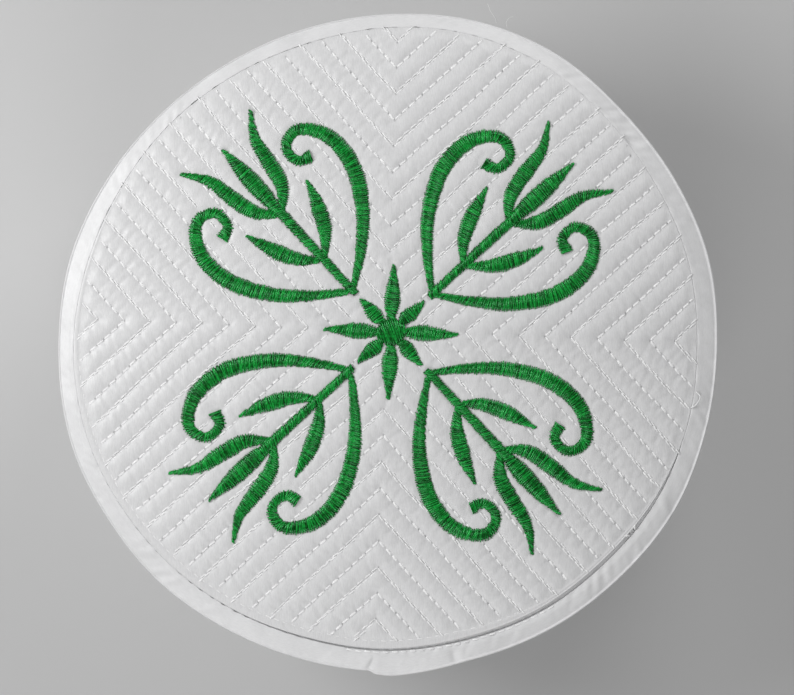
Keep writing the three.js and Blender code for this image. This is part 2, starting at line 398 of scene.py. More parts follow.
# The rolled edge, ring by ring: out from the edge stitching, over the roll, down into the seam,
# out under the band as a seam allowance, and in underneath. Each ring: its share of the way to
# the roll, its share of the way over the open seam, then in millimetres how far it is out from
# the seam, how high where the seam is shut, how high where it gapes, and its share of fullness.
EDGE_RINGS = [
    (0, 0, -0.3, 0.02, 0, -0.4),
    (0.15, 0, -0.3, 0, 0, 0.5),
    (0.4, 0, -0.3, 0, 0.03, 1),
    (0.7, 0, -0.3, 0, -0.1, 0.9),
    (0.85, 0, -0.3, 0, -0.1, 0.8),
    (1, 0, -0.3, 0, 0.12, 0.6),
    (1, 0, -0.2, -0.01, 0.12, 0.3),
    (1, 0, -0.11, -0.04, 0, 0.1),
    (1, 0, -0.04, -0.08, -0.16, 0),
    (1, 0, 0, -0.12, -0.35, 0),
    (1, 0, 0.01, -0.4, -0.7, 0),
    (1, 0.15, 0, -0.5, -0.95, 0),
    (1, 0.6, 0, -0.7, -1.03, 0),
    (1, 1, -0.02, -0.8, -0.98, 0),
    (1, 1, 0.12, -1.1, -1.2, 0),
    (1, 1, 0.25, -1.4, -1.5, 0),
    (1, 1, 0.6, -1.75, -1.75, 0),
    (1, 1, 0.6, -2.0, -2.0, 0),
    (1, 0, 0, -2.05, -2.05, 0),
    (1, 0, -0.05, -2.7, -2.7, 0),
    (1, 0, -0.4, -3.0, -3.0, 0),
]
EDGE_ROLL = 0.3 * MM
EDGE_FULLNESS = 0.13 * MM
FULL_INSET = 2.2 * MM  # the edge is as round as it gets where the stitching lies this far in
UNDER_SHARES = [0.86, 0.72, 0.56, 0.4, 0.24, 0.1]


def close_to(bearing, centre, wide):
    """From 0 to 1: how close a bearing is to a centre, in degrees."""
    gap = (np.degrees(bearing) - centre + 180) % 360 - 180
    return np.exp(-((gap / wide) ** 2))


def move_ring(radius_at, lift_at):
    """Extrudes the picked ring of the crown and moves it to its next place."""
    bpy.ops.mesh.extrude_region_move()
    bpy.ops.object.mode_set(mode="OBJECT")
    ring = picked(crown)
    points = points_of(crown)
    bearing = np.arctan2(points[ring, 1], points[ring, 0])
    x, y = radius_at(bearing) * np.cos(bearing), radius_at(bearing) * np.sin(bearing)
    points[ring] = np.stack([x, y, crown_height(x, y) + lift_at(bearing)], 1)
    set_points(crown, points)
    bpy.ops.object.mode_set(mode="EDIT")


def edge_ring(level, gap, out, shut_height, open_height, fullness):
    def radius_at(bearing):
        before_roll = (edge_inset(bearing) - EDGE_ROLL) * (1 - level)
        return crown_rim(bearing) - before_roll + gap * seam_opening(bearing).clip(0) + out * MM

    def lift_at(bearing):
        rounded = (edge_inset(bearing) / FULL_INSET).clip(0, 1)
        round_trip = 2 * math.pi * SEAM_RADIUS
        uneven = 1 + 0.35 * soft_noise(bearing * SEAM_RADIUS, 0, 4 * MM, 5, round_trip)
        height = shut_height + (open_height - shut_height) * gape(bearing)
        return height * MM + fullness * EDGE_FULLNESS * rounded * uneven

    move_ring(radius_at, lift_at)


def under_ring(share):
    move_ring(lambda bearing: share * crown_rim(bearing), lambda bearing: -CROWN_THICKNESS)


pick(crown, on_edge)
bpy.ops.object.mode_set(mode="EDIT")
bpy.ops.mesh.select_mode(type="EDGE")
bpy.ops.mesh.select_all(action="SELECT")
bpy.ops.mesh.region_to_loop()
for ring in EDGE_RINGS:
    edge_ring(*ring)
    if ring == EDGE_RINGS[0]:
        bpy.ops.mesh.remove_doubles(threshold=0.12 * MM)
for share in UNDER_SHARES:
    under_ring(share)
bpy.ops.mesh.extrude_region_move()
bpy.ops.mesh.merge(type="CENTER")
bpy.ops.object.mode_set(mode="OBJECT")


def add_node(tree, kind, label="", at=(0, 0), **values):
    """A shader node with its settings, and with its inputs set or linked."""
    made = tree.nodes.new("ShaderNode" + kind)
    made.label, made.location = label, at
    inputs = values.pop("inputs", {})
    for key, value in values.items():
        setattr(made, key, value)
    for key, value in inputs.items():
        if isinstance(value, bpy.types.NodeSocket):
            tree.links.new(value, made.inputs[key])
        else:
            made.inputs[key].default_value = value
    return made


def add_math(tree, at, operation, *values):
    """The result of a Math node."""
    return add_node(tree, "Math", "", at, operation=operation, inputs=dict(enumerate(values))).outputs[0]


def satin_weave():
    """Satin's fine floats: long bright threads side by side along X, in metres, under soft blotches of
    painted shade that stand in for small creases.
    """
    tree = bpy.data.node_groups.new("satin weave", "ShaderNodeTree")
    face = tree.interface
    face.new_socket("Place", in_out="INPUT", socket_type="NodeSocketVector")
    face.new_socket("Streak", in_out="INPUT", socket_type="NodeSocketFloat").default_value = 0.5
    face.new_socket("Mottle", in_out="INPUT", socket_type="NodeSocketFloat").default_value = 0.3
    face.new_socket("Tone", in_out="OUTPUT", socket_type="NodeSocketFloat")
    face.new_socket("Height", in_out="OUTPUT", socket_type="NodeSocketFloat")
    start = tree.nodes.new("NodeGroupInput")
    end = tree.nodes.new("NodeGroupOutput")
    end.location = (1000, 0)
    place = start.outputs["Place"]
    floats = add_node(tree, "Mapping", "stretch along the floats", (200, 200),
                      inputs={"Vector": place, "Scale": (650, 4600, 650)})
    streaks = add_node(tree, "TexNoise", "floats", (400, 200), inputs={
        "Vector": floats.outputs[0], "Scale": 1.0, "Detail": 4.0, "Roughness": 0.65})
    grain = add_node(tree, "TexNoise", "grain", (400, 0), inputs={
        "Vector": place, "Scale": 5200.0, "Detail": 1.0, "Roughness": 0.5})
    # Painted shade: soft blotches of darker and lighter tone that stand in for the shading of small
    # creases in the satin.
    painted_crease_shade = add_node(tree, "TexNoise", "painted crease shade", (400, -200), inputs={
        "Vector": place, "Scale": 130.0, "Detail": 3.0, "Roughness": 0.6})
    height = add_math(tree, (620, 200), "MULTIPLY_ADD",
                      grain.outputs["Fac"], 0.4, streaks.outputs["Fac"])
    fine = add_math(tree, (620, 0), "MULTIPLY", height, start.outputs["Streak"])
    spread = add_math(tree, (620, -180), "MULTIPLY_ADD",
                      painted_crease_shade.outputs["Fac"], start.outputs["Mottle"], fine)
    # Each noise lies round a half, so this is the middle of the sum.
    double = add_math(tree, (620, -340), "MULTIPLY_ADD",
                      start.outputs["Streak"], 1.4, start.outputs["Mottle"])
    middle = add_math(tree, (780, -340), "MULTIPLY", double, -0.5)
    swing = add_math(tree, (780, -180), "ADD", spread, middle)
    tone = add_node(tree, "Math", "tone", (880, -80), operation="ADD", use_clamp=True,
                    inputs={0: swing, 1: 0.8})
    tree.links.new(tone.outputs[0], end.inputs["Tone"])
    tree.links.new(height, end.inputs["Height"])
    return tree


SATIN_WEAVE = satin_weave()


def new_material(name):
    made = bpy.data.materials.new(name)
    made.use_nodes = True
    return made, made.node_tree, made.node_tree.nodes["Principled BSDF"]


def placed_group(tree, group, at, **inputs):
    made = tree.nodes.new("ShaderNodeGroup")
    made.node_tree, made.location = group, at
    for key, value in inputs.items():
        if isinstance(value, bpy.types.NodeSocket):
            tree.links.new(value, made.inputs[key])
        else:
            made.inputs[key].default_value = value
    return made


def satin_finish(tree, skin, tone, weave, light, strength, roughness):
    """The colours, the weave's relief and the sheen of both satins.

    The satin goes from a shadow grey to the light colour; 6 and 7 are a colour Mix's two inputs.
    """
    colour = add_node(tree, "Mix", "satin colour", (-160, 60), data_type="RGBA", inputs={
        "Factor": tone, 6: (0.2, 0.2, 0.205, 1), 7: light})
    tree.links.new(colour.outputs[2], skin.inputs["Base Color"])
    bump = add_node(tree, "Bump", "weave", (-160, -300), inputs={
        "Strength": strength, "Distance": 0.00005, "Height": weave.outputs["Height"]})
    tree.links.new(bump.outputs[0], skin.inputs["Normal"])
    skin.inputs["Roughness"].default_value = roughness
    skin.inputs["Sheen Weight"].default_value = 0.2
    skin.inputs["Sheen Roughness"].default_value = 0.4


def quilted_satin():
    material, tree, skin = new_material("quilted white satin")
    place = add_node(tree, "TexCoord", at=(-1100, 0)).outputs["Object"]
    upright = add_node(tree, "Mapping", "floats run front to back", (-900, 0),
                       inputs={"Vector": place, "Rotation": (0, 0, math.radians(88))})
    # The crown's satin takes only a little of the weave's painted crease shade.
    weave = placed_group(tree, SATIN_WEAVE, (-700, 0), Place=upright.outputs[0], Streak=0.5, Mottle=0.1)
    # Painted shade: the satin's colour is darkened along the quilted rows and in dark dots at the needle
    # holes, standing in for the shade in their dips.
    sewn_in = add_node(tree, "Attribute", "sewn rows", (-700, -250), attribute_name="sewn")
    hole = add_node(tree, "Attribute", "needle holes", (-900, -450), attribute_name="needle")
    small = add_math(tree, (-700, -450), "POWER", hole.outputs["Fac"], 1.8)
    painted_row_shade = add_math(tree, (-500, -250), "MULTIPLY_ADD", sewn_in.outputs["Fac"], -0.045, 1.0)
    painted_shade = add_math(tree, (-420, -350), "MULTIPLY_ADD", small, -1.0, painted_row_shade)
    tone = add_math(tree, (-330, -100), "MULTIPLY", weave.outputs["Tone"], painted_shade)
    satin_finish(tree, skin, tone, weave, (0.76, 0.76, 0.765, 1), 0.35, 0.42)
    return material


def finish_piece(piece, material, slot, *nodes):
    """Smooth shading, one material, and its place in the frame."""
    piece.data.materials.clear()
    piece.data.materials.append(material)
    piece.data.polygons.foreach_set("use_smooth", [True] * len(piece.data.polygons))
    piece.data.update()
    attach(piece, "root")
    if nodes:
        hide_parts(*nodes)


finish_piece(crown, quilted_satin(), "quilted_satin", "crown_panel")

# ---------------------------------------------------------------------------------------------
# The quilting thread
# Machine stitches of white polyester thread about 2.6 mm long, sunk in the rows of the crown
# and once round its edge. The rows take turns: one shows a single plump stitch, the next two
# fine threads side by side.

STITCH = STITCH_CELLS * CELL
STITCH_LIFT = 0.08 * MM
ASKEW = 0.035  # of a stitch's length, sideways at each end
PLUMP_WIDTH = 0.66 * MM
FINE_WIDTH = 0.46 * MM
FINE_APART = 0.24 * MM  # from the middle of a doubled row to each of its seams
FINE_RAISED = 0.05 * MM
FINE_STAGGER = 0.45 * STITCH  # of the second seam's holes against the first's
EDGE_WIDTH = 0.3 * MM
EDGE_SUNK = 0.08 * MM
EDGE_STITCH_RADIUS = 85 * MM
TUCKED_UNDER = 0.45 * MM  # how deep a stitch goes where the embroidery covers its end


def thread_model(name, sides, cuts, swell):
    """One stitch from 0 to 1 along X, a unit wide and high, and thinner at its ends."""
    bpy.ops.object.select_all(action="DESELECT")
    bpy.ops.mesh.primitive_cylinder_add(
        vertices=sides, radius=0.5, depth=1, location=(0.5, 0, 0), rotation=(0, math.pi / 2, 0)
    )
    model = newest(name)
    bpy.ops.object.transform_apply()
    bpy.ops.object.mode_set(mode="EDIT")
    for cut in cuts:
        bpy.ops.mesh.select_all(action="SELECT")
        bpy.ops.mesh.bisect(plane_co=(cut, 0, 0), plane_no=(1, 0, 0))
    bpy.ops.object.mode_set(mode="OBJECT")
    points = points_of(model)
    points[:, 1:] *= np.interp(points[:, 0], (0, *cuts, 1), swell)[:, None]
    set_points(model, points)
    return model


def sew_copies(name, model, starts, ends, width, height, arch, lift, bow=0, tone=1, facing=(0, 0, 1)):
    """One mesh of many copies of a model, each laid from its start to its end.

    Each copy has its own width and height of thread, and it is lifted along the arch (a height
    for each share of its length) the way the cloth faces, and bowed to its left.
    """
    count = len(starts)
    width, height, lift, bow, tone = (
        np.broadcast_to(value, count)[:, None] for value in (width, height, lift, bow, tone)
    )
    shape = points_of(model)
    run = ends - starts
    left = np.cross(np.broadcast_to(facing, run.shape), run)
    left /= np.linalg.norm(left, axis=1)[:, None]
    up = np.cross(run, left)
    up /= np.linalg.norm(up, axis=1)[:, None]
    share = shape[None, :, 0]
    across = shape[None, :, 1] * width + np.sin(math.pi * share) * bow
    raised = shape[None, :, 2] * height + np.interp(share, *zip(*arch)) * lift
    places = starts[:, None] + share[..., None] * run[:, None]
    places += across[..., None] * left[:, None] + raised[..., None] * up[:, None]
    size, corner_count = len(shape), len(model.data.loops)
    corners = np.empty(corner_count, int)
    begins = np.empty(len(model.data.polygons), int)
    texture = np.empty(corner_count * 2)
    model.data.loops.foreach_get("vertex_index", corners)
    model.data.polygons.foreach_get("loop_start", begins)
    model.data.uv_layers.active.data.foreach_get("uv", texture)
    each = np.arange(count)[:, None]
    mesh = bpy.data.meshes.new(name)
    mesh.vertices.add(count * size)
    mesh.vertices.foreach_set("co", places.ravel())
    mesh.loops.add(count * corner_count)
    mesh.loops.foreach_set("vertex_index", (corners + each * size).ravel())
    mesh.polygons.add(count * len(begins))
    mesh.polygons.foreach_set("loop_start", (begins + each * corner_count).ravel())
    mesh.uv_layers.new(name="thread").data.foreach_set("uv", np.tile(texture, count))
    mesh.update(calc_edges=True)
    piece = bpy.data.objects.new(name, mesh)
    bpy.context.scene.collection.objects.link(piece)
    set_attribute(piece, "tone", np.repeat(tone.ravel(), size))
    return piece


def join_pieces(name, pieces):
    bpy.ops.object.select_all(action="DESELECT")
    for piece in pieces:
        piece.select_set(True)
    bpy.context.view_layer.objects.active = pieces[0]
    bpy.ops.object.join()
    return newest(name)


def white_thread():
    material, tree, skin = new_material("white polyester thread")
    tone = add_node(tree, "Attribute", "each stitch's tone", (-700, 0), attribute_name="tone")
    ply_map = add_node(tree, "UVMap", at=(-1100, -200), uv_map="thread")
    ply = add_node(tree, "TexWave", "twisted plies", (-700, -250), bands_direction="DIAGONAL",
                   inputs={"Vector": ply_map.outputs[0], "Scale": 3.0, "Distortion": 0.4})
    colour = add_node(tree, "Mix", "thread colour", (-300, 0), data_type="RGBA", inputs={
        "Factor": tone.outputs["Fac"], 6: (0.7, 0.7, 0.71, 1), 7: (0.86, 0.86, 0.86, 1)})
    tree.links.new(colour.outputs[2], skin.inputs["Base Color"])
    bump = add_node(tree, "Bump", "plies", (-300, -300), inputs={
        "Strength": 0.45, "Distance": 0.00006, "Height": ply.outputs["Fac"]})
    tree.links.new(bump.outputs[0], skin.inputs["Normal"])
    skin.inputs["Roughness"].default_value = 0.6
    skin.inputs["Sheen Weight"].default_value = 0.2
    return material


WHITE_THREAD = white_thread()
SUNK_ARCH = [(0, -2.6), (0.07, -0.8), (0.25, 0.8), (0.5, 1), (0.75, 0.8), (0.93, -0.8), (1, -2.6)]
sunk_stitch = thread_model("sunk stitch", 6, (0.07, 0.25, 0.75, 0.93), (0.7, 0.92, 1, 1, 0.92, 0.7))
draws = np.random.default_rng(11)


def sew_row(name, starts, ends, width, inset, slip, bow=0, facing=(0, 0, 1)):
    """Stitches that stop short of their holes, each a little out of line."""
    count = len(starts)
    run = ends - starts
    step = run / np.linalg.norm(run, axis=1)[:, None] * inset
    nudge = np.stack([draws.normal(0, slip, count), draws.normal(0, slip, count), np.zeros(count)], 1)
    askew = np.cross(np.broadcast_to(facing, run.shape), run) * ASKEW
    return sew_copies(
        name, sunk_stitch, starts + step + nudge + askew, ends - step + nudge - askew,
        width * draws.uniform(0.85, 1.15, count), 0.55 * width * draws.uniform(0.85, 1.15, count),
        SUNK_ARCH, STITCH_LIFT, bow, draws.uniform(0.5, 1.0, count), facing,
    )


# The plan's left and right quarters have their rows along u, the front and back along v.
cells = []
row_limit = PLAN_CELLS // CELLS_PER_ROW
for row in range(-row_limit, row_limit + 1):
    at = row * CELLS_PER_ROW
    for first in range(abs(at), PLAN_CELLS - STITCH_CELLS, STITCH_CELLS):
        for near, far in ((first, first + STITCH_CELLS), (-first, -first - STITCH_CELLS)):
            cells += [(near, at, far, at, row % 2), (at, near, at, far, row % 2)]
cells = np.array(cells, float)


def on_crown(u, v):
    x, y = quilt_to_crown(u * CELL, v * CELL)
    return np.stack([x, y, crown_height(x, y)], 1)


starts, ends = on_crown(*cells[:, 0:2].T), on_crown(*cells[:, 2:4].T)
room_before, room_after = room_at(*starts[:, :2].T), room_at(*ends[:, :2].T)
kept = (room_before / (room_before - room_after)).clip(0, 1)  # the last stitch of a row is short
kept[room_after > 0] = 1
ends = starts + (ends - starts) * kept[:, None]
middle = (starts + ends) / 2
shown = (room_before > 0) & (kept > 0.5) & ~under_embroidery(middle[:, 0], middle[:, 1], -0.4 * MM)
for tips in (starts, ends):
    tips[:, 2] -= TUCKED_UNDER * under_embroidery(tips[:, 0], tips[:, 1], 0)
doubled = cells[:, 4] == 1
single = shown & ~doubled
sets = [sew_row("plump", starts[single], ends[single], PLUMP_WIDTH, 0.2 * MM, 0.05 * MM)]
fine_starts, fine_ends = starts[shown & doubled], ends[shown & doubled]
for side in (1, -1):
    # The two seams of a doubled row run apart and close again, each with its own holes.
    beside = []
    for tips in (fine_starts, fine_ends):
        run = fine_ends - fine_starts
        run /= np.linalg.norm(run, axis=1)[:, None]
        apart = FINE_APART * (1 + 0.5 * soft_noise(tips[:, 0], tips[:, 1], 19 * MM, 41))
        left = np.stack([-run[:, 1], run[:, 0], 0 * run[:, 0]], 1)
        beside.append(tips + side * apart[:, None] * left + (side > 0) * FINE_STAGGER * run)
        beside[-1][:, 2] += FINE_RAISED
    sets.append(sew_row("fine", *beside, FINE_WIDTH, 0.05 * MM, 0.03 * MM, side * 0.05 * MM))

edge_stitches = round(2 * math.pi * EDGE_STITCH_RADIUS / STITCH)
holes = np.arange(edge_stitches) * 2 * math.pi / edge_stitches
holes = holes[edge_inset(holes) > 1.6 * MM]  # elsewhere the edge stitching is lost in the seam
holes = np.stack([holes, holes + 2 * math.pi / edge_stitches])
radius = crown_rim(holes) - edge_inset(holes)
x, y = radius * np.cos(holes), radius * np.sin(holes)
starts, ends = np.stack([x, y, crown_height(x, y) - EDGE_SUNK], 2)
sets.append(sew_row("edge", starts, ends, EDGE_WIDTH, 0.3 * MM, 0.04 * MM))
quilting_thread = join_pieces("quilting_thread", sets)
finish_piece(quilting_thread, WHITE_THREAD, "quilted_satin")

# ---------------------------------------------------------------------------------------------
# The embroidery
# Satin stitch in glossy green rayon over padding stitches: close strands from one edge of a
# stroke to the other, aslant on the narrow strokes, so that the edges are finely toothed. Later
# strokes lie over earlier ones.

STRAND_PITCH = 0.29 * MM
STRAND_WIDTH = 0.39 * MM
STRAND_HEIGHT = 0.34 * MM
WORKED_STRAIGHT = 4.6 * MM  # strokes as wide as this have their strands nearly straight across
OVERLAP_LIFT = 0.25 * MM  # of the strokes worked last, over the ones below
SATIN_ARCH = [(0, -0.1), (0.07, 0.42), (0.22, 0.8), (0.5, 1), (0.78, 0.8), (0.93, 0.42), (1, -0.1)]


def green_thread():
    material, tree, skin = new_material("green rayon thread")
    tone = add_node(tree, "Attribute", "each strand's tone", (-900, 0), attribute_name="tone")
    thread_map = add_node(tree, "UVMap", at=(-1300, -200), uv_map="thread")
    stretched = add_node(tree, "Mapping", "fibres run along", (-1100, -200), inputs={
        "Vector": thread_map.outputs[0], "Scale": (14, 1.5, 1)})
    fibres = add_node(tree, "TexNoise", "fibres", (-900, -200), inputs={
        "Vector": stretched.outputs[0], "Scale": 3.0, "Detail": 3.0})
    mixed = add_math(tree, (-600, 0), "MULTIPLY", tone.outputs["Fac"], 0.5)
    # Painted glints: lighter and darker green from noise over the whole piece, standing in for strands
    # that catch the light.
    place = add_node(tree, "TexCoord", at=(-1100, 250)).outputs["Object"]
    painted_glints = add_node(tree, "TexNoise", "painted glints", (-900, 250), inputs={
        "Vector": place, "Scale": 1500.0, "Detail": 2.0, "Roughness": 0.6})
    varied = add_math(tree, (-500, 100), "MULTIPLY_ADD", painted_glints.outputs["Fac"], 0.7, mixed)
    ramp = add_node(tree, "ValToRGB", "greens", (-400, 0), inputs={"Fac": varied})
    ramp.color_ramp.elements[0].position = 0.42
    ramp.color_ramp.elements[0].color = (0, 0.04, 0.001, 1)
    ramp.color_ramp.elements[1].position = 0.92
    ramp.color_ramp.elements[1].color = (0.012, 0.44, 0.06, 1)
    tree.links.new(ramp.outputs[0], skin.inputs["Base Color"])
    bump = add_node(tree, "Bump", "fibres", (-300, -300), inputs={
        "Strength": 0.3, "Distance": 0.00006, "Height": fibres.outputs["Fac"]})
    tree.links.new(bump.outputs[0], skin.inputs["Normal"])
    skin.inputs["Roughness"].default_value = 0.22
    skin.inputs["Specular IOR Level"].default_value = 0.85
    skin.inputs["Specular Tint"].default_value = (0.33, 1, 0.5, 1)
    return material


GREEN_THREAD = green_thread()
satin_strand = thread_model(
    "satin strand", 5, (0.07, 0.22, 0.5, 0.78, 0.93), (0.5, 0.85, 1, 1.05, 1, 0.85, 0.5)
)
draws = np.random.default_rng(5)


def line_at(line, place):
    """Places on a line, counted in its steps, and the line's left-hand direction there."""
    steps = np.arange(len(line))
    run = np.gradient(line[:, :2], axis=0)
    left = np.stack([-run[:, 1], run[:, 0]], 1) / np.linalg.norm(run, axis=1)[:, None]
    place = place.clip(0, len(line) - 1)
    at = np.stack([np.interp(place, steps, column) for column in line.T], 1)
    left = np.stack([np.interp(place, steps, column) for column in left.T], 1)
    return at, left / np.linalg.norm(left, axis=1)[:, None]


def satin_stroke(stroke, layer):
    """The strands of one stroke, worked to and fro close over its padding."""
    line = smooth_line(stroke, STRAND_PITCH)
    order = np.arange(len(line) + 1)
    side = np.where(order % 2, 1, -1)
    width = line[order.clip(0, len(line) - 1), 2]
    lean = (WORKED_STRAIGHT - width).clip(0.25 * MM, 1.6 * MM) / STRAND_PITCH
    at, left = line_at(line, order + side * lean / 2 + draws.normal(0, 0.2, len(order)))
    reach = side * (at[:, 2] / 2 + draws.normal(0, 0.1 * MM, len(order)))
    x, y = (at[:, :2] + left * reach[:, None]).T
    holes = np.stack([x, y, crown_height(x, y) + 0.05 * MM], 1)
    count = len(line)
    strands = sew_copies(
        "strands", satin_strand, holes[:-1], holes[1:],
        STRAND_WIDTH * draws.uniform(0.85, 1.15, count), STRAND_HEIGHT,
        SATIN_ARCH, 0.25 * MM + 0.075 * line[:, 2] + layer + draws.normal(0, 0.04 * MM, count),
        draws.normal(0, 0.05 * MM, count), draws.uniform(0.15, 0.85, count),
    )
    return [strands, padding(line, layer)]


def padding(line, layer):
    """The padding stitches under the strands: a low rounded ribbon, narrower than the stroke."""
    rows, columns = len(line) // 2, 6
    bpy.ops.object.select_all(action="DESELECT")
    bpy.ops.mesh.primitive_grid_add(x_subdivisions=rows, y_subdivisions=columns, size=1)
    ribbon = newest("padding")
    grid = points_of(ribbon)
    at, left = line_at(line, (grid[:, 0] + 0.5) * (len(line) - 1))
    half = (at[:, 2] / 2 - 0.3 * MM).clip(0.08 * MM)
    across = grid[:, 1] * 2
    x, y = (at[:, :2] + left * (across * half)[:, None]).T
    rise = 0.15 * MM + (0.1 * MM + 0.06 * at[:, 2] + 0.9 * layer) * (1 - across**2)
    rise = np.where(np.abs(across) > 0.99, -0.2 * MM, rise)
    set_points(ribbon, np.stack([x, y, crown_height(x, y) + rise], 1))
    ribbon.data.uv_layers[0].name = "thread"
    set_attribute(ribbon, "tone", np.full(len(grid), 0.25))
    return ribbon


for name, strokes in ornament.items():
    sets = []
    worked_last = 1 if name == "embroidered_rosette" else 2
    for number, stroke in enumerate(strokes):
        over = OVERLAP_LIFT if number >= len(strokes) - worked_last else 0
        sets += satin_stroke(stroke, over)
    embroidery = join_pieces(name.replace("embroidered", "satin_stitch"), sets)
    finish_piece(embroidery, GREEN_THREAD, "green_thread", name)

# ---------------------------------------------------------------------------------------------
# The side band
# A strip of satin sewn into a ring. Its top is folded out past the crown seam and pressed, its
# ends are lapped at the back, and its lower edge is turned up inside as a hem and held by a row
# of stitches.

BAND_COLUMNS = 880
HEM_STITCH_HEIGHT = 18.0 * MM
WALL_RADIUS = 92 * MM  # about, for measuring along the cloth
WALL_ROUND = 2 * math.pi * WALL_RADIUS
SHOULDER_RADIUS = 88 * MM  # about, halfway across the shoulder
LAP_FROM = math.radians(266.5)
LAP_TO = math.radians(284)
LAP_STEP = 1.3 * MM
SEAM_STITCH = 2.6 * MM  # the length of a stitch in the seam

# The section, in millimetres: "across" runs from the crown seam (0) to the pressed fold (1),
# "out" is added to it, and then comes the height.
OUTER_FACE = [
    (1, -2.6, 0.0),
    (1, -1.5, 0.5),
    (1, -1.15, 3.5),
    (1, -1.45, 18.0),
    (1, -1.6, 38.0),
    (1, -1.0, 56.0),
    (1, -0.25, 68.0),
    (1, 0.0, 70.8),
    (0.985, 0, 71.35),
    (0.955, 0, 71.57),
    (0.93, 0, 71.6),
    (0.88, 0, 71.45),
    (0.83, 0, 71.46),
    (0.72, 0, 71.68),
    (0.5, 0, 72.0),
    (0.25, 0, 72.28),
    (0.08, 0, 72.38),
    (0.03, 0, 72.37),
    (0.005, 0, 72.3),
    (0.0, 0.03, 71.9),
]
INNER_FACE = [
    (0.0, 0.3, 71.4),
    (0.5, 0, 71.2),
    (1, -1.8, 70.0),
    (1, -2.2, 64.0),
    (1, -2.6, 56.0),
    (1, -3.0, 47.0),
    (1, -3.2, 38.0),
    (1, -3.2, 30.0),
    (1, -3.15, 21.0),
    (1, -3.1, 18.5),
    (1, -3.0, 10.0),
    (1, -2.85, 1.3),
    (1, -2.95, 1.2),
    (1, -3.1, 10.0),
    (1, -3.2, 18.5),
    (1, -3.3, 20.0),
    (1, -3.7, 20.3),
    (1, -4.1, 19.9),
    (1, -4.15, 18.5),
    (1, -4.0, 10.0),
    (1, -3.9, 1.2),
    (1, -3.5, 0.3),
]
SHOULDER_WIDTH = 5.8 * MM  # only for drawing the section


def band_section():
    """The rows of the band's closed section, as across, out and height."""
    outer = np.array([(SHOULDER_WIDTH / MM * a + o, h, a, o, h) for a, o, h in OUTER_FACE])
    outer = smooth_line(outer, 0.15)[:, 2:]
    across, _, height = outer.T
    number = np.arange(len(outer))
    flat = (across > 0.1) & (across < 0.85)  # the pressed shoulder needs only every other row
    kept = (number % 12 == 0) | (height > 70.9) & (~flat | (number % 2 == 0))
    by_hem_stitches = np.abs(height - HEM_STITCH_HEIGHT / MM) < 1.6
    kept |= ((height > 68) | by_hem_stitches | (height < 1.2)) & (number % 3 == 0)
    return np.vstack([outer[kept], INNER_FACE])


def cloth_noise(along, up, size, seed):
    """Soft noise on the band's cloth, which meets itself once round the cap."""
    return soft_noise(along, up, size, seed, WALL_ROUND)


def shoulder_puckers(arc, across, bearing):
    """Small diagonal puckers of the cloth drawn in by the seam, stronger in some stretches."""
    stretches = ((25, 45), (205, 45), (312, 30))  # each one's middle and width, in degrees
    strength = 0.5 + 0.45 * sum(close_to(bearing, at, wide) for at, wide in stretches)
    along, in_out = arc + across * 4 * MM, across * 5 * MM
    dapples = cloth_noise(along, 0.6 * in_out, 6 * MM, 21) * cloth_noise(along, in_out, 17 * MM, 23)
    small = cloth_noise(along, 0.8 * in_out, 3.2 * MM, 24)
    broad = cloth_noise(arc, in_out, 10 * MM, 22)
    return (strength * (0.24 * dapples + 0.04 * small) + 0.1 * broad) * MM


def shoulder_tilt(bearing):
    """How much further than usual the fold is pressed down below the seam."""
    tilts = ((0.5, 172, 30), (0.5, 45, 35), (-0.2, 115, 20))
    return sum(deep * close_to(bearing, at, wide) for deep, at, wide in tilts) * MM


def lap_step(bearing, height):
    """How far the lapped end stands out over the layer below: sharply, but softly at the fold."""
    from_edge = (bearing - LAP_FROM) * WALL_RADIUS
    at_fold = ((height - 50 * MM) / (19 * MM)).clip(0, 1)
    sharp = (from_edge / ((0.25 + 2.2 * at_fold) * MM)).clip(0, 1)
    slow = (from_edge / (8 * MM)).clip(0, 1)
    sharp, slow = (rise * rise * (3 - 2 * rise) for rise in (sharp, slow))
    rise = sharp + 0.55 * at_fold * (slow - sharp)
    return LAP_STEP * (1 + 0.4 * at_fold) * rise * ((LAP_TO - bearing) / (LAP_TO - LAP_FROM)).clip(0, 1)


def wall_wave(bearing, height):
    """The soft waves of the wall, which die away at the hem and the pressed fold."""
    arc = bearing * WALL_RADIUS
    waves = 0.75 * MM * cloth_noise(arc, 0.35 * height, 44 * MM, 31)
    waves += 0.22 * MM * cloth_noise(arc + 0.4 * height, 0.4 * height, 16 * MM, 32)
    folds = cloth_noise(arc - 0.5 * height, 0.2 * height, 24 * MM, 35).clip(0) ** 2
    waves += 0.5 * MM * folds * cloth_noise(arc, height, 60 * MM, 36).clip(0)
    return waves * np.clip(height / (14 * MM), 0.15, 1) * np.clip((68.5 * MM - height) / (12 * MM), 0, 1)


section = band_section()
rows = len(section)
bpy.ops.object.select_all(action="DESELECT")
bpy.ops.mesh.primitive_circle_add(vertices=rows, radius=SHOULDER_WIDTH)
band = newest("side_band_satin")
across, out, height = section.T
drawn = np.stack([SEAM_RADIUS + across * SHOULDER_WIDTH + out * MM, np.zeros(rows), height * MM], 1)
set_points(band, drawn)
set_attribute(band, "row", np.arange(rows))
bpy.ops.object.mode_set(mode="EDIT")
bpy.ops.mesh.select_all(action="SELECT")
bpy.ops.mesh.spin(
    steps=BAND_COLUMNS, angle=2 * math.pi, center=(0, 0, 0), axis=(0, 0, 1), use_auto_merge=True
)
bpy.ops.mesh.select_all(action="SELECT")
bpy.ops.mesh.remove_doubles(threshold=0.01 * MM)
bpy.ops.mesh.normals_make_consistent(inside=False)
bpy.ops.object.mode_set(mode="OBJECT")

points = points_of(band)
row = np.round(attribute_of(band, "row")).astype(int)
even = np.arctan2(points[:, 1], points[:, 0]) % (2 * math.pi)
